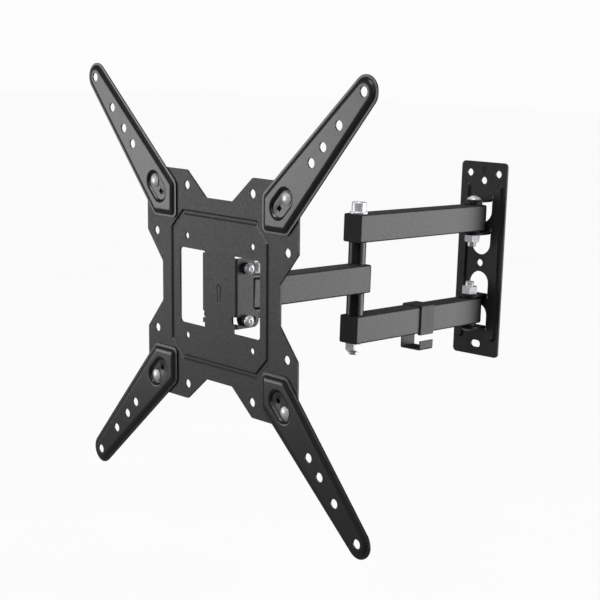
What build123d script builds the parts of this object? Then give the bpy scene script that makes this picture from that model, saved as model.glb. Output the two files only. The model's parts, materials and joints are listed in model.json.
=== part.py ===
from build123d import *
from math import acos, asin, atan2, cos, hypot, radians, sin, sqrt, tan
import os

# Full motion TV wall mount: a wall plate, two rear tubes, one front tube, a swivel bracket and a
# TV plate with four extension arms. Millimetres. +Z is up, the wall is the plane y = 0, the TV is
# on the -Y side, and the origin is the middle of the wall plate's back, at its centre hole.

# Sheet metal
WALL_T = 2.5  # wall plate thickness
BRACKET_T = 2.5  # swivel bracket thickness
TV_T = 2.0  # TV plate thickness
ARM_T = 1.5  # extension arm thickness

# Wall plate
WALL_W, WALL_TOP, WALL_BOTTOM, WALL_R = 64.0, 118.0, -109.5, 5.0
WALL_HOLE_R = 4.25
TOP_HOLES = [(-20.0, 104.8), (20.0, 104.8), (0.0, 96.4)]
LOW_SLOT_Z, LOW_SLOT_L = -96.3, 13.5
TV_ARROW, WALL_ARROW, WALL_ARROW_Z = 9.2, 5.0, 108.5  # half lengths of the engraved arrows
ARROW_LINE, ARROW_DEPTH = 0.9, 0.4
RIB_X, RIB_Z, RIB_L, RIB_W, RIB_H = 23.0, 1.0, 184.0, 9.5, 2.4
EAR_R, EAR_BEND_R = 13.0, 2.5  # ear tip radius, and the inner radius of its bend
EAR_TOPS = [75.0, 37.0]  # top faces of the two upper ears; the lower pair mirrors them
WINDOW_GAP, WINDOW_DROP = 0.4, 16.2  # side gap, and height of a window's straight part
PIVOT_Y = -19.6  # wall swivel axis

# Tubes
TUBE_W, TUBE_H, TUBE_T, TUBE_R = 24.0, 30.0, 1.8, 2.0
REAR_Z = 54.2  # centre line of the upper rear tube
REAR_L, FRONT_L = 205.4, 153.6  # pivot to elbow, elbow to head
WALL_OVERHANG, ELBOW_OVERHANG, FRONT_OVERHANG, HEAD_OVERHANG = 11.3, 9.7, 10.3, 13.8
WALL_CAP_L, CAP_L, CAP_PLUG = 4.5, 1.5, 9.0
ELBOW_Y = PIVOT_Y - REAR_L
HEAD_Y = ELBOW_Y - FRONT_L

# Bolts, nuts and washers
RUN = 0.05  # radial clearance of a running fit, and face clearance of a moving face
BOLT_R, SMALL_R = 5.0, 3.0  # M10 pivots, M6 tilt and arm bolts
CAP_HEAD_R, CAP_HEAD_H, CAP_SOCKET = 7.8, 10.4, 8.0  # cap head of the elbow and swivel bolts
FLANGE_R, FLANGE_T = 9.8, 2.0  # washer under a cap head
NUT_AF, NUT_H, NUT_COLLAR, PLAIN_NUT_H = 17.0, 7.8, 2.2, 8.4
BOLT_REACH = 13.0  # bolt length beyond the face its nut bears on
SMALL_NUT_AF, LOCK_NUT_AF, SMALL_NUT_H, SMALL_COLLAR = 10.0, 8.6, 4.0, 1.4
PIVOT_HEAD_R, PIVOT_HEAD_H = 8.4, 4.5
TILT_HEAD_R, TILT_HEAD_H, TILT_SOCKET, TILT_REACH = 5.9, 3.3, 4.0, 6.6  # reach inside the bracket
BUSH_R, SPIGOT_R, BUSH_FLANGE_R = 7.0, 6.2, 9.5
SLEEVE_R, THRUST_T = 9.35, 0.8

# Head: the plate hangs from the bracket on the tilt axis
YAW, TILT = -5.5, 2.0  # degrees, in the rest pose
TILT_AHEAD, TILT_UP = 34.4, 28.5  # tilt axis, ahead of and above the swivel axis
BRACKET_X = 24.2  # outer face of the bracket's sides
BRACKET_FRONT, BRACKET_REAR = -40.9, -26.8  # front of the web, rear of the sides
BRACKET_LOBE_R, SHELF_R = 7.2, 13.0
LOCK_Y, LOCK_Z = -32.9, -22.7  # lock bolt, from the swivel axis

# TV plate, from its centre; depth is measured from the front face towards the wall
TV_HALF, TV_NOTCH, TV_CORNER = 115.0, 90.0, 13.5
TILT_DEPTH, TILT_HEIGHT = 12.5, 25.7  # tilt axis in the TV plate
BEAD_HALF, BEAD_CORNER, BEAD_W, BEAD_DEPTH, BEAD_SLOPE = 73.0, 17.0, 5.6, 1.6, 45.0
WINDOW_X0, WINDOW_X1, WINDOW_Z = 22.0, 61.5, 37.9
SIDE_X, SIDE_BEND_R = 26.4, 0.4  # outer face of the plate's ears
SIDE_TOP, SIDE_BOTTOM, SIDE_DEPTH, SIDE_RECESS, SIDE_UPPER = 35.7, -33.0, 28.0, 21.5, 23.2
LOCK_R, LOCK_LOW, LOCK_HIGH = 51.7, -12.3, 9.5  # arc slot: radius and end angles
SLOT_W = 7.2
INNER_HOLE_R, OUTER_HOLE_R = 3.2, 4.4

# Extension arms: u runs out along the diagonal, v across it
ARM_TIP, ARM_WIDE_U, ARM_WIDE_V = 93.0, 118.0, 25.0
ARM_END_U, ARM_END_R = 200.0 * sqrt(2), 14.6
ARM_RISE, LIP_W, SLOPE_W = 2.5, 3.0, 5.0
ARM_HOLES = [x * sqrt(2) for x in (135.0, 150.0, 170.0, 200.0)]
ARM_HOLE_R = 4.5
RECESS_U, RECESS_L, RECESS_W, RECESS_SLOPE = 134.3, 35.0, 22.0, 2.6
ARM_BOLT_U, TAB_U, TAB_L, TAB_W = 100.0 * sqrt(2), 127.7, 5.0, 4.2
ARM_BOLT_R, ARM_BOLT_H = 6.1, 2.5

# Cable clip on the lower rear tube
CLIP_Y, CLIP_L, CLIP_T, CLIP_GAP = -115.0, 23.0, 1.8, 0.1
CLIP_DROP, CLIP_LIP, CLIP_HOOK = 17.3, 10.6, 2.6  # cable channel, front lip, hook under the tube

# Frames of the tilted and turned head
head = Location((0, HEAD_Y, 0), (0, 0, YAW))
tilted = head * Location((0, -TILT_AHEAD, TILT_UP), (TILT, 0, 0))
tv = tilted * Location((0, -TILT_DEPTH, -TILT_HEIGHT))
head_yz = Plane(head * Plane.YZ.location)
tv_face = Plane(tv * Plane.XZ.location)  # normal points at the viewer
tv_yz = Plane(tv * Plane.YZ.location)


def hexagon_prism(flats, height, bore):
    """Hexagon nut standing on z = 0, with its top corners rounded off."""
    across = flats / sqrt(3)
    with BuildPart() as prism:
        with BuildSketch():
            RegularPolygon(flats / 2, 6, major_radius=False)
        extrude(amount=height)
        with BuildSketch(Plane.XZ):
            with BuildLine():
                Polyline((0, 0), (across, 0), (across, height - 0.8), (flats * 0.49, height), (0, height),
                         close=True)
            make_face()
        revolve(axis=Axis.Z, mode=Mode.INTERSECT)
        with BuildSketch():
            Circle(bore)
        extrude(amount=height, mode=Mode.SUBTRACT)
    return prism.part


def cap_bolt(length):
    """Cylindrical head with a hexagon socket above z = 0, and an M10 shank below it."""
    with BuildPart() as bolt:
        with BuildSketch():
            Circle(CAP_HEAD_R)
        extrude(amount=CAP_HEAD_H)
        fillet(bolt.faces().sort_by(Axis.Z)[-1].edges(), 1.2)
        with BuildSketch():
            Circle(BOLT_R)
        extrude(amount=-length)
        chamfer(bolt.faces().sort_by(Axis.Z)[0].edges(), 0.8)
        with BuildSketch(Plane.XY.offset(CAP_HEAD_H)):
            RegularPolygon(CAP_SOCKET / 2, 6, major_radius=False)
        extrude(amount=-CAP_HEAD_H / 2, mode=Mode.SUBTRACT)
    return bolt.part


def dome_bolt(head_r, head_height, shank_r, length, socket=0.0):
    """Domed head above z = 0 and a shank below it; socket is a hexagon drive's width."""
    rim = 0.6
    ball = (head_r**2 + (head_height - rim) ** 2) / (2 * (head_height - rim))
    half = asin(head_r / ball) / 2
    with BuildPart() as bolt:
        with BuildSketch(Plane.XZ):
            with BuildLine():
                Polyline((0, head_height), (0, -length), (shank_r - 0.8, -length),
                         (shank_r, 0.8 - length), (shank_r, 0), (head_r, 0), (head_r, rim))
                ThreePointArc((head_r, rim), (ball * sin(half), head_height - ball + ball * cos(half)),
                              (0, head_height))
            make_face()
        revolve(axis=Axis.Z)
        if socket:
            with BuildSketch(Plane.XY.offset(head_height)):
                RegularPolygon(socket / 2, 6, major_radius=False)
            extrude(amount=-head_height * 0.6, mode=Mode.SUBTRACT)
    return bolt.part


def lock_nut(flats, hex_height, collar, bore):
    """Nut with its flat face on z = 0 and a rounded locking collar on top."""
    collar_r = flats * 0.44
    with BuildPart() as nut:
        add(hexagon_prism(flats, hex_height, bore))
        with BuildSketch(Plane.XY.offset(hex_height)):
            Circle(collar_r)
        extrude(amount=collar)
        fillet(nut.faces().sort_by(Axis.Z)[-1].edges(), collar * 0.6)
        with BuildSketch():
            Circle(bore)
        extrude(amount=hex_height + collar, mode=Mode.SUBTRACT)
    return nut.part


def ring(outer, inner, thickness, edge=0.2):
    """Washer standing on z = 0."""
    with BuildPart() as washer:
        with BuildSketch():
            Circle(outer)
            Circle(inner, mode=Mode.SUBTRACT)
        extrude(amount=thickness)
        fillet(washer.edges().filter_by(GeomType.CIRCLE).group_by(SortBy.RADIUS)[-1], edge)
    return washer.part


def tube(y_front, y_back, holes):
    """Rectangular tube along Y, centred on z = 0, with vertical holes (y, radius) through it."""
    with BuildPart() as pipe:
        with BuildSketch(Plane.XZ.offset(-y_back)):
            RectangleRounded(TUBE_W, TUBE_H, TUBE_R)
            RectangleRounded(TUBE_W - 2 * TUBE_T, TUBE_H - 2 * TUBE_T, TUBE_R / 4, mode=Mode.SUBTRACT)
        extrude(amount=y_back - y_front)
        for y, radius in holes:
            with BuildSketch():
                with Locations((0, y)):
                    Circle(radius)
            extrude(amount=TUBE_H, both=True, mode=Mode.SUBTRACT)
    return pipe.part


def end_cap(length, corner):
    """Cap whose flange covers z 0 to length of a tube end; two fins reach down into the tube."""
    fin_x = TUBE_W / 2 - TUBE_T - 0.95
    with BuildPart() as cap:
        with BuildSketch():
            RectangleRounded(TUBE_W, TUBE_H, TUBE_R)
        extrude(amount=length)
        rim = cap.faces().sort_by(Axis.Z)[-1].edges()
        fillet(rim.filter_by(Axis.Y) if corner else rim, corner or 0.5)
        with BuildSketch():
            with Locations((fin_x, 0), (-fin_x, 0)):
                Rectangle(1.5, 16)
        extrude(amount=-CAP_PLUG)
    return cap.part


def arm_outline(inset, apex_r, corner_r):
    """Extension arm outline, shrunk evenly by inset."""
    end_r = ARM_END_R - inset
    wide_u, wide_v = ARM_WIDE_U + 0.388 * inset, ARM_WIDE_V - 1.026 * inset
    run = ARM_END_U - wide_u
    taper = acos(end_r / hypot(wide_v, run)) - atan2(run, wide_v)  # the sides meet the end arc smoothly
    end_u, end_v = ARM_END_U + end_r * sin(taper), end_r * cos(taper)
    with BuildSketch() as outline:
        with BuildLine():
            Polyline((end_u, end_v), (wide_u, wide_v), (ARM_TIP + sqrt(2) * inset, 0),
                     (wide_u, -wide_v), (end_u, -end_v))
            ThreePointArc((end_u, -end_v), (ARM_END_U + end_r, 0), (end_u, end_v))
        make_face()
        fillet(outline.vertices().sort_by(Axis.X)[0], apex_r)
        fillet(outline.vertices().filter_by(lambda v: abs(abs(v.Y) - wide_v) < 0.01), corner_r)
    return outline.sketch


def arm_pan(inset, low, high):
    """Solid under a pressed pan: from the slope's foot at z = low to its plateau at z = high."""
    with BuildPart() as pan:
        with BuildSketch(Plane.XY.offset(low)):
            add(arm_outline(LIP_W + inset, 3.5, 6.0))
        with BuildSketch(Plane.XY.offset(high)):
            add(arm_outline(LIP_W + SLOPE_W + inset, 2.5, 5.0))
        loft(ruled=True)
    return pan.part


def arrow(half_length):
    """Outline of an upward arrow, as a line to engrave."""
    head, stem, neck = 0.56 * half_length, 0.3 * half_length, 0.2 * half_length
    with BuildSketch() as mark:
        Polygon((0, half_length), (head, neck), (stem, neck), (stem, -half_length), (-stem, -half_length),
                (-stem, neck), (-head, neck), align=None)
        offset(amount=-ARROW_LINE, mode=Mode.SUBTRACT)
    return mark.sketch


# ---------------------------------------------------------------- wall plate and its pivots

with BuildPart() as wall_plate:
    with BuildSketch(Plane.XZ):
        with Locations((0, (WALL_TOP + WALL_BOTTOM) / 2)):
            RectangleRounded(WALL_W, WALL_TOP - WALL_BOTTOM, WALL_R)
    extrude(amount=WALL_T)
    with BuildSketch(Plane.XZ.offset(WALL_T)):
        with Locations((-RIB_X, RIB_Z), (RIB_X, RIB_Z)):
            SlotOverall(RIB_L, RIB_W, rotation=90)
    extrude(amount=RIB_H, taper=38)
    with BuildSketch(Plane.XZ):
        with Locations((-RIB_X, RIB_Z), (RIB_X, RIB_Z)):
            SlotOverall(RIB_L - 3.0, RIB_W - 3.0, rotation=90)
    extrude(amount=RIB_H, taper=30, mode=Mode.SUBTRACT)
    with BuildSketch(Plane.XZ):
        with Locations((0, 0), *TOP_HOLES):
            Circle(WALL_HOLE_R)
        with Locations((0, LOW_SLOT_Z)):
            SlotOverall(LOW_SLOT_L, 2 * WALL_HOLE_R)
        for side in (1, -1):
            for top in EAR_TOPS:
                bend = side * (top + EAR_BEND_R)  # height where the sheet starts to bend forward
                centre = bend - side * WINDOW_DROP
                with Locations((0, (bend + centre) / 2)):
                    Rectangle(2 * (EAR_R + WINDOW_GAP), abs(bend - centre))
                with Locations((0, centre)):
                    Circle(EAR_R + WINDOW_GAP)
                with Locations((-EAR_R - 0.6, bend), (EAR_R + 0.6, bend)):
                    Rectangle(1.2, 4.0)
    extrude(amount=WALL_T, mode=Mode.SUBTRACT)
    with BuildSketch(Plane.XZ.offset(WALL_T)):
        with Locations((0, WALL_ARROW_Z)):
            add(arrow(WALL_ARROW))
    extrude(amount=-ARROW_DEPTH, mode=Mode.SUBTRACT)
    for side in (1, -1):
        for top in EAR_TOPS:
            inside = WALL_T + EAR_BEND_R
            with BuildSketch(Plane.YZ.offset(-EAR_R)):
                with Locations((-inside, side * (top + EAR_BEND_R))):
                    Circle(EAR_BEND_R + WALL_T)
                    Circle(EAR_BEND_R, mode=Mode.SUBTRACT)
                    Rectangle(inside, inside, mode=Mode.INTERSECT,
                              align=(Align.MIN, Align.MAX if side > 0 else Align.MIN))
            extrude(amount=2 * EAR_R)
            with BuildSketch(Plane.XY.offset(side * top)):
                with Locations((0, (PIVOT_Y - inside) / 2)):
                    Rectangle(2 * EAR_R, -PIVOT_Y - inside)
                with Locations((0, PIVOT_Y)):
                    Circle(EAR_R)
                    Circle(BOLT_R + 0.2, mode=Mode.SUBTRACT)
            extrude(amount=-side * WALL_T)

pivot_bolt = dome_bolt(PIVOT_HEAD_R, PIVOT_HEAD_H, BOLT_R, EAR_TOPS[0] - 20.5)
with BuildPart() as pivot_bolts:
    with Locations(Location((0, PIVOT_Y, EAR_TOPS[0])), Location((0, PIVOT_Y, -EAR_TOPS[0]), (180, 0, 0))):
        add(pivot_bolt)

ear_low = EAR_TOPS[1] - WALL_T
with BuildPart() as pivot_nuts:
    with Locations(Location((0, PIVOT_Y, ear_low), (180, 0, 54)),
                   Location((0, PIVOT_Y, -ear_low), (0, 0, 6))):
        add(hexagon_prism(NUT_AF, PLAIN_NUT_H, BOLT_R))

# ---------------------------------------------------------------- rear arm

rear_back = PIVOT_Y + WALL_OVERHANG - WALL_CAP_L
rear_front = ELBOW_Y - ELBOW_OVERHANG + CAP_L
rear_pipe = tube(rear_front, rear_back, [(PIVOT_Y, SPIGOT_R), (ELBOW_Y, BOLT_R + 0.2)])
with BuildPart() as rear_tube_upper:
    with Locations((0, 0, REAR_Z)):
        add(rear_pipe)
with BuildPart() as rear_tube_lower:
    with Locations((0, 0, -REAR_Z)):
        add(rear_pipe)

with BuildPart() as rear_wall_end_caps:
    with Locations(*[Location((0, rear_back, z), (-90, 0, 0)) for z in (REAR_Z, -REAR_Z)]):
        add(end_cap(WALL_CAP_L, WALL_CAP_L - 0.6))
with BuildPart() as rear_elbow_end_caps:
    with Locations(*[Location((0, rear_front, z), (90, 0, 0)) for z in (REAR_Z, -REAR_Z)]):
        add(end_cap(CAP_L, 0))

# Flanged bushes between the rear tubes and the wall plate's ears, written outwards from z = 0
tube_top, tube_low = REAR_Z + TUBE_H / 2, REAR_Z - TUBE_H / 2
bush_gaps = [(tube_top, EAR_TOPS[0] - WALL_T - tube_top), (-tube_low, tube_low - EAR_TOPS[1])]
with BuildPart() as pivot_bushes:
    for face, gap in bush_gaps:
        with BuildSketch(Plane.XY.offset(face)):
            with Locations((0, PIVOT_Y)):
                Circle(BUSH_FLANGE_R)
        extrude(amount=gap - RUN)
        with BuildSketch(Plane.XY.offset(face)):
            with Locations((0, PIVOT_Y)):
                Circle(SPIGOT_R)
        extrude(amount=-4.0)
        with BuildSketch(Plane.XY.offset(face + gap)):
            with Locations((0, PIVOT_Y)):
                Circle(BOLT_R + RUN)
        extrude(amount=-gap - 4.0, mode=Mode.SUBTRACT)
    mirror(about=Plane.XY)

elbow_top = tube_top + FLANGE_T
nut = lock_nut(NUT_AF, NUT_H, NUT_COLLAR, BOLT_R)
with BuildPart() as elbow_bolt:
    with Locations((0, ELBOW_Y, elbow_top)):
        add(cap_bolt(elbow_top + tube_top + BOLT_REACH))
with BuildPart() as elbow_washer:
    with Locations((0, ELBOW_Y, tube_top)):
        add(ring(FLANGE_R, BOLT_R, FLANGE_T, 0.5))
with BuildPart() as elbow_nut:
    with Locations(Location((0, ELBOW_Y, -tube_top), (180, 0, 50))):
        add(nut)

thrust = ring(SLEEVE_R + 0.2, BOLT_R + RUN, THRUST_T - RUN)
with BuildPart() as elbow_thrust_washers:
    with Locations((0, ELBOW_Y, TUBE_H / 2 + RUN), (0, ELBOW_Y, -TUBE_H / 2 - THRUST_T)):
        add(thrust)
sleeve_low = TUBE_H / 2 + THRUST_T
with BuildPart() as elbow_sleeves:
    with Locations((0, ELBOW_Y, sleeve_low), (0, ELBOW_Y, -tube_low)):
        add(ring(SLEEVE_R, BOLT_R, tube_low - sleeve_low, 0.4))

# ---------------------------------------------------------------- front arm

front_back = ELBOW_Y + FRONT_OVERHANG - CAP_L
front_front = HEAD_Y - HEAD_OVERHANG + CAP_L
with BuildPart() as front_tube:
    add(tube(front_front, front_back, [(ELBOW_Y, BUSH_R), (HEAD_Y, BUSH_R)]))
with BuildPart() as front_elbow_end_cap:
    with Locations(Location((0, front_back, 0), (-90, 0, 0))):
        add(end_cap(CAP_L, 0))
with BuildPart() as front_head_end_cap:
    with Locations(Location((0, front_front, 0), (90, 0, 0))):
        add(end_cap(CAP_L, 0))
tube_bush = ring(BUSH_R, BOLT_R + RUN, TUBE_H)
with BuildPart() as elbow_bush:
    with Locations((0, ELBOW_Y, -TUBE_H / 2)):
        add(tube_bush)
with BuildPart() as swivel_bush:
    with Locations((0, HEAD_Y, -TUBE_H / 2)):
        add(tube_bush)

# ---------------------------------------------------------------- swivel bracket

shelf = TUBE_H / 2 + THRUST_T  # inner faces of the bracket's two shelves
with BuildPart() as swivel_bracket:
    for x in (BRACKET_X - BRACKET_T, -BRACKET_X):
        with BuildSketch(head_yz.offset(x)):
            with BuildLine():
                Polyline((-TILT_AHEAD - BRACKET_LOBE_R, TILT_UP), (LOCK_Y - BRACKET_LOBE_R, LOCK_Z),
                         (BRACKET_REAR, LOCK_Z), (BRACKET_REAR, TILT_UP), close=True)
            make_face()
            with Locations((-TILT_AHEAD, TILT_UP), (LOCK_Y, LOCK_Z)):
                Circle(BRACKET_LOBE_R)
                Circle(SMALL_R + 0.1, mode=Mode.SUBTRACT)
        extrude(amount=BRACKET_T)
    with BuildSketch(head_yz.offset(-BRACKET_X)):
        with Locations((BRACKET_FRONT + BRACKET_T / 2, 0)):
            Rectangle(BRACKET_T, 2 * (shelf + BRACKET_T))
    extrude(amount=2 * BRACKET_X)
    for low in (shelf, -shelf - BRACKET_T):
        with BuildSketch(Plane(head).offset(low)):
            with BuildLine():
                Polyline((-20, BRACKET_FRONT + 1), (20, BRACKET_FRONT + 1), (SHELF_R, -12), (SHELF_R, 0))
                ThreePointArc((SHELF_R, 0), (0, SHELF_R), (-SHELF_R, 0))
                Polyline((-SHELF_R, 0), (-SHELF_R, -12), (-20, BRACKET_FRONT + 1))
            make_face()
            Circle(BOLT_R + 0.1, mode=Mode.SUBTRACT)
        extrude(amount=BRACKET_T)

shelf_top = shelf + BRACKET_T
with BuildPart() as swivel_washer:
    with Locations(head * Location((0, 0, shelf_top))):
        add(ring(FLANGE_R, BOLT_R, FLANGE_T, 0.5))
with BuildPart() as swivel_bolt:
    with Locations(head * Location((0, 0, shelf_top + FLANGE_T))):
        add(cap_bolt(2 * shelf_top + FLANGE_T + BOLT_REACH))
with BuildPart() as swivel_nut:
    with Locations(head * Location((0, 0, -shelf_top), (180, 0, 0))):
        add(nut)
with BuildPart() as swivel_thrust_washers:
    with Locations((0, HEAD_Y, TUBE_H / 2), (0, HEAD_Y, -TUBE_H / 2 - THRUST_T + RUN)):
        add(thrust)

# Tilt bolts above, lock bolts below: a pair of each, heads outside the TV plate's ears
spacer_t = 4.6
outside = SIDE_X + RUN
small_nut = lock_nut(SMALL_NUT_AF, SMALL_NUT_H, SMALL_COLLAR, SMALL_R)


def both_sides(y, z, reach, flip=0):
    """Places at x = reach on the right, facing outwards, and mirrored on the left; flip 180 faces in."""
    return [head * Location((x, y, z), (0, x / reach * 90, 0)) * Location((0, 0, 0), (flip, 0, 0))
            for x in (reach, -reach)]


bracket_inside = BRACKET_X - BRACKET_T
with BuildPart() as tilt_spacers:
    with Locations(*both_sides(-TILT_AHEAD, TILT_UP, outside), *both_sides(LOCK_Y, LOCK_Z, outside)):
        add(ring(5.5, SMALL_R, spacer_t, 0.3))
with BuildPart() as tilt_bolts:
    with Locations(*both_sides(-TILT_AHEAD, TILT_UP, outside + spacer_t)):
        add(dome_bolt(TILT_HEAD_R, TILT_HEAD_H, SMALL_R,
                      outside + spacer_t - bracket_inside + TILT_REACH, TILT_SOCKET))
with BuildPart() as lock_bolts:
    with Locations(*both_sides(LOCK_Y, LOCK_Z, outside + spacer_t)):
        add(dome_bolt(TILT_HEAD_R, TILT_HEAD_H, SMALL_R,
                      outside + spacer_t - bracket_inside + TILT_REACH, TILT_SOCKET))
with BuildPart() as tilt_nuts:
    with Locations(*both_sides(-TILT_AHEAD, TILT_UP, bracket_inside, 180)):
        add(small_nut)
with BuildPart() as lock_nuts:
    with Locations(*both_sides(LOCK_Y, LOCK_Z, bracket_inside, 180)):
        add(lock_nut(LOCK_NUT_AF, SMALL_NUT_H, SMALL_COLLAR, SMALL_R), rotation=(0, 0, 30))

# ---------------------------------------------------------------- TV plate

corner = TV_HALF - TV_CORNER
quarter = [(20, TV_NOTCH), (50, TV_HALF), (corner, TV_HALF),
           (TV_HALF, corner), (TV_HALF, 50), (TV_NOTCH, 20)]
tv_points = []
for turn in (0, 1, 2, 3):
    tv_points += [[(x, z), (z, -x), (-x, -z), (-z, x)][turn] for x, z in quarter]


def bead(half_width):
    """Square ring with cut corners, half_width to each side of the bead's centre line."""
    with BuildSketch() as band:
        for reach, mode in ((half_width, Mode.ADD), (-half_width, Mode.SUBTRACT)):
            size, cut = 2 * (BEAD_HALF + reach), BEAD_CORNER + (2 - sqrt(2)) * reach
            with BuildSketch(mode=mode) as square:
                Rectangle(size, size)
                chamfer(square.vertices(), cut)
    return band.sketch


lock_arc = CenterArc((TILT_DEPTH, TILT_HEIGHT), LOCK_R, 270 + LOCK_LOW, LOCK_HIGH - LOCK_LOW)

with BuildPart() as tv_plate:
    with BuildSketch(tv_face.offset(-TV_T)) as blank:
        Polygon(*tv_points, align=None)
        fillet(blank.vertices(), 3)
    extrude(amount=TV_T)
    with BuildSketch(tv_face.offset(-TV_T)):
        add(bead(BEAD_W / 2 + TV_T * tan(radians(BEAD_SLOPE) / 2)))
    extrude(amount=-BEAD_DEPTH, taper=BEAD_SLOPE)
    with BuildSketch(tv_face):
        add(bead(BEAD_W / 2))
    extrude(amount=-BEAD_DEPTH, taper=BEAD_SLOPE, mode=Mode.SUBTRACT)
    with BuildSketch(tv_face.offset(-TV_T)):
        with GridLocations(100, 100, 2, 2):
            Circle(INNER_HOLE_R)
        for pitch in ((200, 100), (100, 200)):
            with GridLocations(*pitch, 2, 2):
                Circle(OUTER_HOLE_R)
        with GridLocations(200, 200, 2, 2):
            Circle(SMALL_R + 0.1)
        for side in (1, -1):
            with Locations((side * (WINDOW_X0 + WINDOW_X1) / 2, 0)):
                RectangleRounded(WINDOW_X1 - WINDOW_X0, 2 * WINDOW_Z, 4)
            with Locations((side * (WINDOW_X0 + 2), 0)):
                Rectangle(4, 2 * WINDOW_Z)
    extrude(amount=TV_T, mode=Mode.SUBTRACT)
    bend_x = SIDE_X - TV_T - SIDE_BEND_R
    with BuildSketch(Plane(tv).offset(SIDE_BOTTOM)):
        for side in (1, -1):
            with Locations((side * bend_x, TV_T + SIDE_BEND_R)):
                Circle(TV_T + SIDE_BEND_R)
                Circle(SIDE_BEND_R, mode=Mode.SUBTRACT)
        with Locations((0, TV_T + SIDE_BEND_R)):
            Rectangle(2 * bend_x, 6, mode=Mode.SUBTRACT)
            Rectangle(60, 6, align=(Align.CENTER, Align.MIN), mode=Mode.SUBTRACT)
        for side in (1, -1):
            with Locations((side * (WINDOW_X0 + bend_x) / 2, TV_T / 2)):
                Rectangle(bend_x - WINDOW_X0, TV_T)
    extrude(amount=SIDE_TOP - SIDE_BOTTOM)
    for x in (SIDE_X - TV_T, -SIDE_X):
        with BuildSketch(tv_yz.offset(x)) as ear:
            back = TV_T + SIDE_BEND_R
            Polygon((back, SIDE_TOP), (SIDE_UPPER, SIDE_TOP), (SIDE_UPPER, 19), (SIDE_RECESS, 14),
                    (SIDE_RECESS, -14), (SIDE_DEPTH, -19.5), (SIDE_DEPTH, SIDE_BOTTOM), (back, SIDE_BOTTOM),
                    align=None)
            tips = ear.vertices().filter_by(lambda v: v.X > SIDE_UPPER - 0.1).sort_by(Axis.Y)
            fillet(tips[0], 6)
            fillet(tips[-1], 7)
            fillet(tips[1:-1], 2)
            with Locations((TILT_DEPTH, TILT_HEIGHT)):
                Circle(SMALL_R + RUN, mode=Mode.SUBTRACT)
            SlotArc(lock_arc, SLOT_W, mode=Mode.SUBTRACT)
        extrude(amount=TV_T)
    slot_z = TILT_HEIGHT - LOCK_R * cos(radians(LOCK_LOW))
    with BuildSketch(tv_face.offset(-TV_T - SIDE_BEND_R)):
        for side in (1, -1):
            with Locations((side * 23.5, slot_z)):
                Rectangle(7, SLOT_W)
    extrude(amount=TV_T + SIDE_BEND_R, mode=Mode.SUBTRACT)
    with BuildSketch(tv_face):
        add(arrow(TV_ARROW))
    extrude(amount=-ARROW_DEPTH, mode=Mode.SUBTRACT)

# ---------------------------------------------------------------- extension arms and their bolts

shift = ARM_T * tan(atan2(ARM_RISE, SLOPE_W) / 2)
recess_shift = ARM_T * tan(atan2(ARM_RISE, RECESS_SLOPE) / 2)


def recess(grow, low, high):
    """Oblong dish narrowing from z = high to its floor at z = low."""
    with BuildPart() as dish:
        for level, slope in ((low, RECESS_SLOPE), (high, 0)):
            with BuildSketch(Plane.XY.offset(level)):
                with Locations((RECESS_U, 0)):
                    SlotOverall(RECESS_L + 2 * (grow - slope), RECESS_W + 2 * (grow - slope))
        loft(ruled=True)
    return dish.part


with BuildPart() as hollow:
    add(arm_pan(shift, 0, ARM_RISE))
    add(recess(recess_shift, 0, ARM_RISE), mode=Mode.SUBTRACT)

with BuildPart() as arm:
    with BuildSketch():
        add(arm_outline(0, 6, 9))
    extrude(amount=ARM_T)
    add(arm_pan(0, ARM_T, ARM_T + ARM_RISE))
    add(hollow.part, mode=Mode.SUBTRACT)
    add(recess(0, ARM_T, ARM_T + ARM_RISE), mode=Mode.SUBTRACT)
    with BuildSketch():
        with Locations(*[(u, 0) for u in ARM_HOLES]):
            Circle(ARM_HOLE_R)
        with Locations((ARM_BOLT_U, 0)):
            Circle(SMALL_R + 0.1)
        with Locations((TAB_U, 0)):
            Rectangle(TAB_L, TAB_W)
    extrude(amount=2 * ARM_RISE, mode=Mode.SUBTRACT)

diagonals = [tv_face.location * Location((0, 0, 0), (0, 0, angle)) for angle in (135, 45, -135, -45)]
arm_parts = []
for diagonal in diagonals:
    with BuildPart() as placed:
        with Locations(diagonal):
            add(arm.part)
    arm_parts.append(placed.part)

with BuildPart() as carriage_bolts:
    with Locations(*[diagonal * Location((ARM_BOLT_U, 0, ARM_T)) for diagonal in diagonals]):
        add(dome_bolt(ARM_BOLT_R, ARM_BOLT_H, SMALL_R, ARM_T + 12.0))
with BuildPart() as carriage_nuts:
    with Locations(*[diagonal * Location((ARM_BOLT_U, 0, -TV_T), (180, 0, 0)) for diagonal in diagonals]):
        add(ring(6.6, SMALL_R, 1.2, 0.3))
        with Locations((0, 0, 1.2)):
            add(small_nut)

# ---------------------------------------------------------------- cable clip

half_w, clip_top = TUBE_W / 2 + CLIP_GAP, -tube_low + CLIP_GAP
clip_low = -tube_top - CLIP_DROP
hook_z = -tube_top - CLIP_GAP
with BuildPart() as cable_clip:
    with BuildSketch(Plane.XZ.offset(-CLIP_Y - CLIP_L / 2)):
        with Locations((0, (clip_top + clip_low) / 2)):
            RectangleRounded(2 * (half_w + CLIP_T), clip_top - clip_low + 2 * CLIP_T, 2)
            Rectangle(2 * half_w, clip_top - clip_low, mode=Mode.SUBTRACT)
        gap_top, gap_low = hook_z - CLIP_T, clip_low - CLIP_T + CLIP_LIP
        with Locations((half_w + CLIP_T / 2, (gap_top + gap_low) / 2)):
            Rectangle(2 * CLIP_T, gap_top - gap_low, mode=Mode.SUBTRACT)
        with Locations((half_w, hook_z)):
            Rectangle(CLIP_HOOK, CLIP_T, align=(Align.MAX, Align.MAX))
    extrude(amount=CLIP_L)
    fillet(cable_clip.edges().filter_by(Axis.Y).filter_by(lambda e: e.center().Z < gap_top + 0.1
                                                          and e.center().X > half_w - CLIP_HOOK - 0.1), 0.5)

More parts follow.
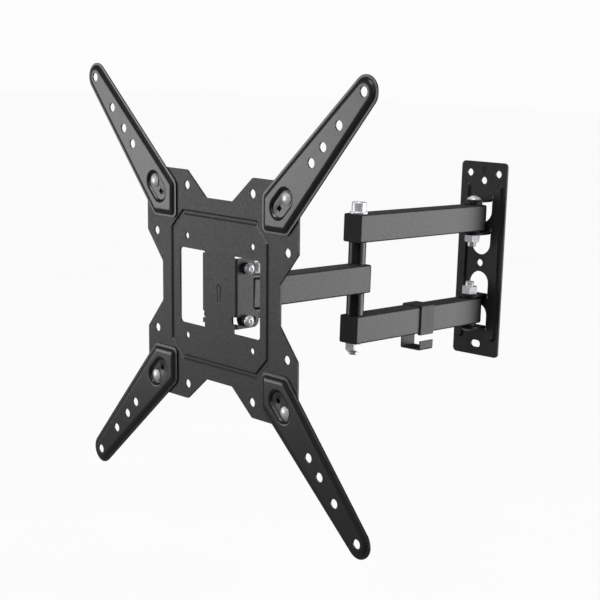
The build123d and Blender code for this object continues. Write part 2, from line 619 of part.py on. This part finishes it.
# ---------------------------------------------------------------- export

nodes = {
    "wall_plate": wall_plate.part, "pivot_bolts": pivot_bolts.part, "pivot_nuts": pivot_nuts.part,
    "pivot_bushes": pivot_bushes.part, "rear_tube_upper": rear_tube_upper.part,
    "rear_tube_lower": rear_tube_lower.part, "rear_wall_end_caps": rear_wall_end_caps.part,
    "rear_elbow_end_caps": rear_elbow_end_caps.part, "elbow_bolt": elbow_bolt.part,
    "elbow_washer": elbow_washer.part, "elbow_sleeves": elbow_sleeves.part,
    "elbow_thrust_washers": elbow_thrust_washers.part, "elbow_nut": elbow_nut.part,
    "front_tube": front_tube.part, "front_elbow_end_cap": front_elbow_end_cap.part,
    "front_head_end_cap": front_head_end_cap.part, "elbow_bush": elbow_bush.part,
    "swivel_bush": swivel_bush.part, "swivel_thrust_washers": swivel_thrust_washers.part,
    "swivel_bracket": swivel_bracket.part, "swivel_bolt": swivel_bolt.part,
    "swivel_washer": swivel_washer.part, "swivel_nut": swivel_nut.part, "tilt_bolts": tilt_bolts.part,
    "tilt_spacers": tilt_spacers.part, "tilt_nuts": tilt_nuts.part, "lock_bolts": lock_bolts.part,
    "lock_nuts": lock_nuts.part, "tv_plate": tv_plate.part, "arm_upper_left": arm_parts[0],
    "arm_upper_right": arm_parts[1], "arm_lower_left": arm_parts[2], "arm_lower_right": arm_parts[3],
    "carriage_bolts": carriage_bolts.part, "carriage_nuts": carriage_nuts.part,
    "cable_clip": cable_clip.part,
}
os.makedirs("parts", exist_ok=True)
for name, solid in nodes.items():
    solid.label = name
    export_step(solid, f"parts/{name}.step")
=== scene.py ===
"""Looks of a full motion TV wall mount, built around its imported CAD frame. Metres, +Z up."""

import json
import math

import bmesh
import bpy
from mathutils import Matrix, Vector


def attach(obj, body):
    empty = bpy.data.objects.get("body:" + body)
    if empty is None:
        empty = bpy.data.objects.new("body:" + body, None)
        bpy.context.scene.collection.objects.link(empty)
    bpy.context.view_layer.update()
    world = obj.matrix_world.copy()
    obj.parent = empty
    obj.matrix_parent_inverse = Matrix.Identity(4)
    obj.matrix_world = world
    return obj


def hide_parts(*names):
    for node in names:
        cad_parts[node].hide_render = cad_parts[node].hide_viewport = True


MM = 0.001
CAMERA_PLACE = (1.0101, -1.4201, 0.2248)
CAMERA_TURN = (80.902, -1.979, 42.677)  # degrees, XYZ
LENS, SENSOR = 89.13, 36.0

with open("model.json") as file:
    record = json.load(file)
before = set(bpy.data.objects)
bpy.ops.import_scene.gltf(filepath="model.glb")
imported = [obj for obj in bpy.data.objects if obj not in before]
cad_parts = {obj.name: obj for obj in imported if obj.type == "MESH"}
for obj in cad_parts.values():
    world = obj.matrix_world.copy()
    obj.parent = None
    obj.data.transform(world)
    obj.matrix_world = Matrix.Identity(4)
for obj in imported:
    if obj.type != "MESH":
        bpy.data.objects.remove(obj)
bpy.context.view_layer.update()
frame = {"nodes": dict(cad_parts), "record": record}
scene = bpy.context.scene


# ---------------------------------------------------------------- materials

NOISE_ROUGHNESS = 0.55
NOISE_LOW, NOISE_HIGH = 0.3, 0.7  # the part of a noise's range that is stretched over a socket's


class Shader:
    """A Principled material, and short ways to feed its sockets."""

    def __init__(self, name):
        self.material = bpy.data.materials.new(name)
        self.material.use_nodes = True
        self.tree = self.material.node_tree
        self.bsdf = self.tree.nodes["Principled BSDF"]
        self.place = self.node("ShaderNodeTexCoord").outputs["Object"]

    def node(self, kind):
        return self.tree.nodes.new(kind)

    def link(self, out, into):
        self.tree.links.new(out, into)

    def constant(self, socket, value):
        self.bsdf.inputs[socket].default_value = value

    def noise(self, size, detail, stretch=(1, 1, 1)):
        """Noise whose grains are about size metres across."""
        mapping = self.node("ShaderNodeMapping")
        mapping.inputs["Scale"].default_value = stretch
        self.link(self.place, mapping.inputs["Vector"])
        made = self.node("ShaderNodeTexNoise")
        self.link(mapping.outputs["Vector"], made.inputs["Vector"])
        made.inputs["Scale"].default_value = 1 / size
        made.inputs["Detail"].default_value = detail
        made.inputs["Roughness"].default_value = NOISE_ROUGHNESS
        return made.outputs["Fac"]

    def spread(self, value, low, high, socket):
        """Feeds a socket with a value stretched between two numbers."""
        made = self.node("ShaderNodeMapRange")
        made.inputs["From Min"].default_value = NOISE_LOW
        made.inputs["From Max"].default_value = NOISE_HIGH
        made.inputs["To Min"].default_value = low
        made.inputs["To Max"].default_value = high
        self.link(value, made.inputs["Value"])
        self.link(made.outputs["Result"], self.bsdf.inputs[socket])

    def tint(self, value, dark, light):
        """Colours the surface with a value run through a two-colour ramp."""
        ramp = self.node("ShaderNodeValToRGB")
        ramp.color_ramp.elements[0].position = NOISE_LOW
        ramp.color_ramp.elements[1].position = NOISE_HIGH
        ramp.color_ramp.elements[0].color = (*dark, 1)
        ramp.color_ramp.elements[1].color = (*light, 1)
        self.link(value, ramp.inputs["Fac"])
        self.link(ramp.outputs["Color"], self.bsdf.inputs["Base Color"])

    def bump(self, *layers):
        """Stacks bumps, each (value, height in metres), from coarse to fine."""
        before = None
        for value, depth in layers:
            made = self.node("ShaderNodeBump")
            made.inputs["Distance"].default_value = depth
            self.link(value, made.inputs["Height"])
            if before:
                self.link(before, made.inputs["Normal"])
            before = made.outputs["Normal"]
        self.link(before, self.bsdf.inputs["Normal"])


def powder_coat(name, shade, gloss):
    """Black powder coat: a fine even grain with a soft sheen."""
    shader = Shader(name)
    mottle = shader.noise(2.4 * MM, detail=3)
    grain = shader.noise(0.9 * MM, detail=2)
    dark, light = 0.65 * shade, 1.35 * shade
    shader.tint(mottle, (dark, dark, dark), (light, light, 1.02 * light))
    shader.spread(mottle, 0.50, 0.42, "Roughness")
    shader.bump((mottle, 0.025 * MM), (grain, 0.015 * MM))
    shader.constant("Specular IOR Level", gloss)
    return shader.material


def satin_coat():
    """Smoother powder coat of the pressed extension arms."""
    shader = Shader("black_satin_coat")
    mottle = shader.noise(4 * MM, detail=4)
    grain = shader.noise(0.8 * MM, detail=2)
    shader.tint(mottle, (0.005, 0.005, 0.0055), (0.009, 0.009, 0.0095))
    shader.spread(mottle, 0.31, 0.29, "Roughness")
    shader.bump((mottle, 0.003 * MM), (grain, 0.0012 * MM))
    shader.constant("Specular IOR Level", 0.85)
    return shader.material


def gloss_coat():
    """Smoother black coating of the elbow's sleeves, in faint streaks along Z."""
    shader = Shader("black_gloss_coat")
    streaks = shader.noise(3 * MM, detail=3, stretch=(1, 1, 0.15))
    shader.tint(streaks, (0.006, 0.006, 0.006), (0.012, 0.012, 0.012))
    shader.spread(streaks, 0.24, 0.34, "Roughness")
    shader.bump((streaks, 0.01 * MM))
    return shader.material


def zinc():
    """Bright zinc plating with faint cloudy patches and fine machining grain."""
    shader = Shader("bright_zinc")
    shader.constant("Metallic", 0.6)
    cloud = shader.noise(3 * MM, detail=3)
    grain = shader.noise(0.8 * MM, detail=2)
    shader.tint(cloud, (0.88, 0.90, 0.94), (0.97, 0.98, 1.0))
    shader.spread(cloud, 0.36, 0.44, "Roughness")
    shader.bump((cloud, 0.003 * MM), (grain, 0.001 * MM))
    return shader.material


def plastic(name, shade, gloss):
    """Moulded black plastic with a faint matt texture."""
    shader = Shader(name)
    grain = shader.noise(0.9 * MM, detail=3)
    flow = shader.noise(6 * MM, detail=3)
    light, dark = 1.3 * shade, 0.75 * shade
    shader.tint(flow, (dark, dark, dark), (light, light, light))
    shader.spread(grain, 0.44, 0.54, "Roughness")
    shader.bump((flow, 0.012 * MM), (grain, 0.008 * MM))
    shader.constant("Specular IOR Level", gloss)
    return shader.material


def groove_shade():
    """Painted shade: a near-black floor for an engraved line and for the inside of a punched pocket, which
    are dark only from shade.
    """
    shader = Shader("painted_groove_shade")
    grain = shader.noise(0.5 * MM, detail=2)
    shader.tint(grain, (0.003, 0.003, 0.003), (0.006, 0.006, 0.006))
    shader.spread(grain, 0.7, 0.85, "Roughness")
    shader.constant("Specular IOR Level", 0.1)
    return shader.material


MATERIALS = {
    "powder_coat": powder_coat("black_powder_coat", 0.028, 0.6),
    # a darker copy of the powder coat for the wall plate: its lower shade is painted shade, as the plate lies
    # in the TV plate's shadow
    "shaded_wall_coat": powder_coat("black_coat_painted_shade", 0.018, 0.3),
    "satin_coat": satin_coat(),
    "sleeve_steel": gloss_coat(),
    "zinc": zinc(),
    "black_plastic": plastic("black_plastic", 0.026, 0.5),
    "cap_plastic": plastic("black_cap_plastic", 0.012, 0.2),
    # painted shade for the engraved lines and the arms' tab pockets
    "groove_shade": groove_shade(),
}
SLOTS = {row["node"]: row["material_slot"] for row in frame["record"]["subparts"]}
BODIES = {node: body for body, nodes in frame["record"]["behaviour"]["bodies"].items() for node in nodes}


# ---------------------------------------------------------------- pieces

WELD, SLIVER = 0.002 * MM, 0.001 * MM  # closer points are joined, shorter edges are dropped
FLAT_TURN = 0.4  # degrees: gentler bends are taken out
SMOOTH_TURN, CORNER_TURN = 20, 62  # degrees: gentler bends are shaded smooth, sharper ones are corners
CORNER_ROUND = 0.35 * MM
CREASES = {"tv_plate": 0.8 * MM, "wall_plate": 1.2 * MM}  # rounding of the pressed plates' shallow bends
ROUND_SEGMENTS = 3
LARGE_FACE_WEIGHT = 80  # how strongly the shading follows the larger faces, of 100
ENGRAVED = 0.5 * MM  # an edge of a narrower face belongs to an engraved line
SUNK = 0.1 * ENGRAVED  # a line's floor lies at least this deep
SHADE_INDEX = 1  # index of the painted groove shade material on a piece that has it


def finish_of(node):
    """Name of the material of a node's piece."""
    if node.startswith("arm_"):
        return "satin_coat"
    # the wall plate gets the darker copy of the powder coat, whose extra darkness is painted shade
    if node == "wall_plate":
        return "shaded_wall_coat"
    if "end_cap" in node:
        return "cap_plastic"
    return SLOTS[node]


def new_piece(name, bm, node):
    """A mesh object from bm that stands for a CAD node, with its body and its finish."""
    mesh = bpy.data.meshes.new(name)
    bm.to_mesh(mesh)
    bm.free()
    piece = bpy.data.objects.new(name, mesh)
    scene.collection.objects.link(piece)
    mesh.materials.append(MATERIALS[finish_of(node)])
    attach(piece, BODIES[node])
    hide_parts(node)
    return piece


def round_corners(piece, width):
    """Rounds the edges marked with a bevel weight."""
    rounding = piece.modifiers.new("rounding", "BEVEL")
    rounding.width = width
    rounding.segments = ROUND_SEGMENTS
    rounding.limit_method = "WEIGHT"
    rounding.miter_outer = "MITER_ARC"


def smooth_shading(piece, keep_sharp):
    """Shades a piece smoothly, led by its larger faces."""
    piece.data.shade_smooth()
    shading = piece.modifiers.new("shading", "WEIGHTED_NORMAL")
    shading.weight = LARGE_FACE_WEIGHT
    shading.keep_sharp = keep_sharp


def sunken(face):
    """Whether a face lies deeper than one of the faces round it."""
    middle = face.calc_center_median()
    others = {other for side in face.edges for other in side.link_faces} - {face}
    return any((other.calc_center_median() - middle).dot(face.normal) > SUNK for other in others)


def breadth(face, side):
    """How far a face reaches from the line of one of its edges."""
    start = side.verts[0].co
    along = (side.verts[1].co - start).normalized()
    return max((vert.co - start).cross(along).length for vert in face.verts)


def refined(node, crease=None):
    """Adds a CAD node's own shape, welded, with rounded corners and, if crease is set, rounded bends and
    painted shade on the floors of its engraved lines.
    """
    bm = bmesh.new()
    bm.from_mesh(frame["nodes"][node].data)
    for layer in list(bm.loops.layers.float_vector):  # stored normals, which don't suit rounded corners
        bm.loops.layers.float_vector.remove(layer)
    bmesh.ops.remove_doubles(bm, verts=bm.verts, dist=WELD)
    bmesh.ops.dissolve_degenerate(bm, edges=bm.edges, dist=SLIVER)
    bmesh.ops.dissolve_limit(bm, angle_limit=math.radians(FLAT_TURN), verts=bm.verts, edges=bm.edges)
    weights = bm.edges.layers.float.new("bevel_weight_edge")
    engraved = {side for side in bm.edges if min(breadth(face, side) for face in side.link_faces) < ENGRAVED}
    for side in set(bm.edges) - engraved:
        turn = math.degrees(side.calc_face_angle(0))
        side.smooth = turn < SMOOTH_TURN
        if turn > CORNER_TURN:
            side[weights] = CORNER_ROUND / crease if crease else 1.0
        elif turn > SMOOTH_TURN and crease:
            side[weights] = 1.0
    if crease:
        for side in engraved:
            side.smooth = False
        # the sunken faces of engraved lines get the near-black painted shade
        for face in bm.faces:
            face.material_index = SHADE_INDEX if engraved.issuperset(face.edges) and sunken(face) else 0
    piece = new_piece(node + "_finish", bm, node)
    if crease:
        piece.data.materials.append(MATERIALS["groove_shade"])
    round_corners(piece, crease or CORNER_ROUND)
    smooth_shading(piece, keep_sharp=True)


for node in frame["nodes"]:
    if not node.startswith("arm_"):
        refined(node, crease=CREASES.get(node))


# ---------------------------------------------------------------- extension arms

# Millimetres, as in part.py: u runs out along the plate's diagonal, v across it
ARM_T, ARM_RISE = 1.5, 2.5
ARM_TIP, ARM_WIDE_U, ARM_WIDE_V = 93.0, 118.0, 25.0
ARM_END_U, ARM_END_R = 200 * math.sqrt(2), 14.6
ARM_HOLES, ARM_HOLE_R = [x * math.sqrt(2) for x in (135, 150, 170, 200)], 4.5
WIDE_SHIFT = (0.388, -1.026)  # how far the wide corner moves, in u and v, for each mm of inset
WIDE_ROUND = (9, 0.8, 4.0)  # corner radius at the wide place, its loss for each mm of inset, its least value
TIP_ROUND = (6, 0.7, 2.5)  # the same at the tip
SLOPE = (1.9, 8.3)  # where the pressed slope starts and ends, from the arm's edge
SLOPE_SHIFT, DISH_SHIFT = 0.35, 0.6  # sideways offset between a slope's two faces
DISH_U, DISH_L, DISH_W = 134.3, 35.0, 22.0
DISH = (-3.0, 1.2)  # the dish's slope, from its stated outline
ARM_BOLT_U, ARM_BOLT_R = 100 * math.sqrt(2), 3.1
# the tab hole is a shallow pocket with its floor at TAB_FLOOR, lined with painted shade
TAB_U, TAB_L, TAB_W, TAB_FLOOR = 127.7, 5.0, 4.6, 0.1
EASE = 0.25  # rounding of the rim and the holes
EASE_MIDDLE = EASE * 0.3  # its middle point, from both faces
FOOT = 0.22  # share of a slope's width that its curved foot takes up
SLOPE_STEPS, CORNER_STEPS, END_STEPS, DISH_STEPS, HOLE_STEPS = 12, 8, 28, 18, 36
ARM_ANGLES = {"arm_upper_left": 135, "arm_upper_right": 45, "arm_lower_left": -135, "arm_lower_right": -45}


def swell(t):
    """Rise from 0 to 1: a tight curve at the foot, then a long soft shoulder."""
    return t * t / FOOT if t < FOOT else 1 - (1 - t) ** 2 / (1 - FOOT)


def arc(centre, radius, start, end, steps):
    """Points along an arc, angles in radians."""
    turns = [start + (end - start) * k / steps for k in range(steps + 1)]
    return [(centre[0] + radius * math.cos(t), centre[1] + radius * math.sin(t)) for t in turns]


def corner_arc(before, corner, after, radius):
    """Points of the arc that rounds off a corner of an outline that runs anticlockwise."""
    corner = Vector(corner)
    to_before, to_after = (Vector(before) - corner).normalized(), (Vector(after) - corner).normalized()
    half = to_before.angle(to_after) / 2
    centre = corner + (to_before + to_after).normalized() * radius / math.sin(half)
    first = corner + to_before * radius / math.tan(half) - centre
    start = math.atan2(first.y, first.x)
    return arc(centre, radius, start, start + math.pi - 2 * half, CORNER_STEPS)


def shrunk_radius(inset, radius, loss, least):
    return max(least, radius - loss * inset)


def arm_ring(inset):
    """The arm's outline, shrunk evenly by inset: always the same number of points."""
    end_r = ARM_END_R - inset
    wide_u, wide_v = ARM_WIDE_U + WIDE_SHIFT[0] * inset, ARM_WIDE_V + WIDE_SHIFT[1] * inset
    run = ARM_END_U - wide_u
    taper = math.acos(end_r / math.hypot(wide_v, run)) - math.atan2(run, wide_v)
    end = (ARM_END_U + end_r * math.sin(taper), end_r * math.cos(taper))
    wide, tip = (wide_u, wide_v), (ARM_TIP + math.sqrt(2) * inset, 0)
    low_wide, low_end = (wide_u, -wide_v), (end[0], -end[1])
    wide_r, tip_r = shrunk_radius(inset, *WIDE_ROUND), shrunk_radius(inset, *TIP_ROUND)
    reach = math.pi / 2 - taper
    return (corner_arc(end, wide, tip, wide_r) + corner_arc(wide, tip, low_wide, tip_r)
            + corner_arc(tip, low_wide, low_end, wide_r)
            + arc((ARM_END_U, 0), end_r, -reach, reach, END_STEPS))


def dish_ring(grow):
    """The dish's oblong outline, grown evenly by grow."""
    radius, half = DISH_W / 2 + grow, (DISH_L - DISH_W) / 2
    return (arc((DISH_U + half, 0), radius, -math.pi / 2, math.pi / 2, DISH_STEPS)
            + arc((DISH_U - half, 0), radius, math.pi / 2, 1.5 * math.pi, DISH_STEPS))


def hole_ring(u, radius):
    return arc((u, 0), radius, 0, 2 * math.pi, HOLE_STEPS)[:-1]


def tab_ring():
    return [(TAB_U + x * TAB_L / 2, y * TAB_W / 2) for x, y in ((1, -1), (1, 1), (-1, 1), (-1, -1))]


class Shell:
    """A closed skin made of rings, the bands between them and the flat sheets that they bound."""

    def __init__(self):
        self.bm = bmesh.new()

    def ring(self, points, height):
        return [self.bm.verts.new((u * MM, v * MM, height * MM)) for u, v in points]

    def bands(self, rings):
        for low, high in zip(rings, rings[1:]):
            for i in range(len(low)):
                self.bm.faces.new((low[i - 1], low[i], high[i], high[i - 1]))

    def sheet(self, *rings):
        """Fills the flat area inside the first ring and outside the others."""
        edges = []
        for ring in rings:
            for i in range(len(ring)):
                pair = (ring[i - 1], ring[i])
                edges.append(self.bm.edges.get(pair) or self.bm.edges.new(pair))
        bmesh.ops.triangle_fill(self.bm, edges=edges, use_beauty=True, normal=(0, 0, 1))

    def slope(self, outline, start, end, low, high):
        """Rings of a pressed slope, from its foot at the outline at start to its shoulder at end."""
        return [self.ring(outline(start + (end - start) * k / SLOPE_STEPS),
                          low + (high - low) * swell(k / SLOPE_STEPS))
                for k in range(SLOPE_STEPS + 1)]


def extension_arm(node, place):
    """A pressed arm: a flat lip, a soft slope up to the plateau, a dish round the bolt, holes, and a tab
    pocket whose inside is painted shade.
    """
    shell = Shell()
    top = ARM_T + ARM_RISE
    rim = [shell.ring(arm_ring(inset), height) for inset, height in
           ((EASE, 0), (EASE_MIDDLE, EASE_MIDDLE), (0, EASE), (0, ARM_T - EASE),
            (EASE_MIDDLE, ARM_T - EASE_MIDDLE), (EASE, ARM_T))]
    upper = shell.slope(arm_ring, *SLOPE, ARM_T, top)
    lower = shell.slope(arm_ring, *[x + SLOPE_SHIFT for x in SLOPE], 0, ARM_RISE)
    dish_upper = shell.slope(dish_ring, *DISH, ARM_T, top)[::-1]
    dish_lower = shell.slope(dish_ring, *[x + DISH_SHIFT for x in DISH], 0, ARM_RISE)[::-1]
    shell.bands(lower[::-1] + rim + upper)
    shell.bands(dish_upper)
    shell.bands(dish_lower)
    holes = []
    for u in ARM_HOLES:
        rings = [shell.ring(hole_ring(u, ARM_HOLE_R + ease), height) for ease, height in
                 ((EASE, top), (EASE_MIDDLE, top - EASE_MIDDLE), (0, top - EASE), (0, ARM_RISE))]
        shell.bands(rings)
        holes.append(rings)
    bolt_hole = [shell.ring(hole_ring(ARM_BOLT_U, ARM_BOLT_R), height) for height in (ARM_T, 0)]
    shell.bands(bolt_hole)
    tab = [shell.ring(tab_ring(), height) for height in (ARM_T, TAB_FLOOR)]
    shell.sheet(upper[-1], dish_upper[0], *[rings[0] for rings in holes])
    shell.sheet(dish_upper[-1], bolt_hole[0], tab[0])
    shell.sheet(lower[-1], dish_lower[0], *[rings[-1] for rings in holes])
    shell.sheet(dish_lower[-1], bolt_hole[1])
    # the tab hole is a blind pocket whose walls and floor get painted shade, standing in for the dark seen
    # through the hole
    before_tab = set(shell.bm.faces)
    shell.bands(tab)
    shell.sheet(tab[1])
    for face in set(shell.bm.faces) - before_tab:
        face.material_index = SHADE_INDEX
    bmesh.ops.recalc_face_normals(shell.bm, faces=shell.bm.faces)
    shell.bm.transform(place)
    piece = new_piece(node + "_finish", shell.bm, node)
    piece.data.materials.append(MATERIALS["groove_shade"])
    smooth_shading(piece, keep_sharp=False)


def plate_face():
    """Matrix of the TV plate's front face: x to the right, y up and z towards the viewer."""
    mounts, joints = frame["record"]["mounts"], frame["record"]["behaviour"]["joints"]
    face = next(mount for mount in mounts if mount["name"] == "vesa_100")
    right = Vector(next(joint for joint in joints if joint["name"] == "tilt")["axis"]).normalized()
    out = Vector(face["axis"]).normalized()
    place = Matrix((right, out.cross(right), out)).transposed().to_4x4()
    place.translation = face["pos_m"]
    return place


for node, angle in ARM_ANGLES.items():
    extension_arm(node, plate_face() @ Matrix.Rotation(math.radians(angle), 4, "Z"))


# ---------------------------------------------------------------- stage, light and camera

FLOOR_Z, FLOOR_SIZE = -0.75, 60
LIGHT_AIM, LIGHT_DISTANCE = Vector((0, -0.2, 0)), 3.0
WHITE = 0.975  # surroundings as the camera sees them
STUDIO_DIM, STUDIO_PALE = 0.025, 0.18  # surroundings as the object's surfaces see them
PALE_SIDE = (-0.68, -0.64, -0.35)
PALE_START = 0.1  # how far a direction has to lean to the pale side before it gets paler


def panel(name, azimuth, elevation, width, height, radiance):
    """A soft rectangular studio light that faces the object from a direction given in degrees."""
    turn, rise = math.radians(azimuth), math.radians(elevation)
    outwards = Vector((math.cos(turn) * math.cos(rise), math.sin(turn) * math.cos(rise), math.sin(rise)))
    data = bpy.data.lights.new(name, "AREA")
    data.shape = "RECTANGLE"
    data.size, data.size_y = width, height
    data.energy = radiance * math.pi * width * height
    lamp = bpy.data.objects.new(name, data)
    lamp.location = LIGHT_AIM + outwards * LIGHT_DISTANCE
    lamp.rotation_euler = outwards.to_track_quat("Z", "Y").to_euler()
    scene.collection.objects.link(lamp)


def floor():
    """A wide pale floor that glows evenly; it isn't mirrored in the object and doesn't light it."""
    bpy.ops.mesh.primitive_plane_add(size=FLOOR_SIZE, location=(0, 0, FLOOR_Z))
    plane = bpy.context.object
    plane.name = "floor"
    shader = Shader("pale_floor")
    shader.constant("Base Color", (0.02, 0.02, 0.02, 1))
    shader.constant("Roughness", 0.9)
    shader.constant("Specular IOR Level", 0.0)
    shader.constant("Emission Color", (1, 1, 1, 1))
    shade = shader.noise(400 * MM, detail=2)
    shader.spread(shade, 0.955, 0.965, "Emission Strength")
    plane.data.materials.append(shader.material)
    plane.visible_glossy = False
    plane.visible_diffuse = False


def backdrop():
    """White surroundings behind the object; its surfaces see a dark studio, paler at the lower front left."""
    world = bpy.data.worlds.new("studio")
    scene.world = world
    world.use_nodes = True
    tree = world.node_tree
    dim, white = tree.nodes["Background"], tree.nodes.new("ShaderNodeBackground")
    white.inputs["Color"].default_value = (WHITE, WHITE, WHITE, 1)
    place, lean = tree.nodes.new("ShaderNodeTexCoord"), tree.nodes.new("ShaderNodeVectorMath")
    lean.operation = "DOT_PRODUCT"
    lean.inputs[1].default_value = PALE_SIDE
    glow = tree.nodes.new("ShaderNodeMapRange")
    glow.interpolation_type = "SMOOTHSTEP"
    glow.inputs["From Min"].default_value = PALE_START
    glow.inputs["To Min"].default_value = STUDIO_DIM
    glow.inputs["To Max"].default_value = STUDIO_PALE
    tree.links.new(place.outputs["Generated"], lean.inputs[0])
    tree.links.new(lean.outputs["Value"], glow.inputs["Value"])
    tree.links.new(glow.outputs["Result"], dim.inputs["Color"])
    mix, path = tree.nodes.new("ShaderNodeMixShader"), tree.nodes.new("ShaderNodeLightPath")
    tree.links.new(path.outputs["Is Camera Ray"], mix.inputs["Fac"])
    tree.links.new(dim.outputs["Background"], mix.inputs[1])
    tree.links.new(white.outputs["Background"], mix.inputs[2])
    tree.links.new(mix.outputs["Shader"], tree.nodes["World Output"].inputs["Surface"])


def viewpoint():
    """The camera that looks at the object."""
    camera = bpy.data.objects.new("camera", bpy.data.cameras.new("camera"))
    camera.data.lens, camera.data.sensor_width = LENS, SENSOR
    camera.location = CAMERA_PLACE
    camera.rotation_euler = [math.radians(angle) for angle in CAMERA_TURN]
    scene.collection.objects.link(camera)
    scene.camera = camera


floor()
backdrop()
# Each panel's azimuth and elevation, its width and height in metres, and its brightness
panel("front_key", -74, 58, 2.0, 2.0, 4.6)
panel("left_key", -142, -1, 1.4, 1.1, 3.1)
panel("right_back", 50, -2, 2.6, 2.2, 4.1)
panel("right_strip", 8, -8, 0.7, 1.6, 1.6)
panel("camera_fill", -60, 16, 0.7, 1.4, 1.5)
panel("overhead", -90, 75, 2.0, 2.0, 1.2)
panel("back_fill", 140, 48, 1.4, 1.4, 1.2)
scene.view_settings.view_transform = "Standard"
viewpoint()
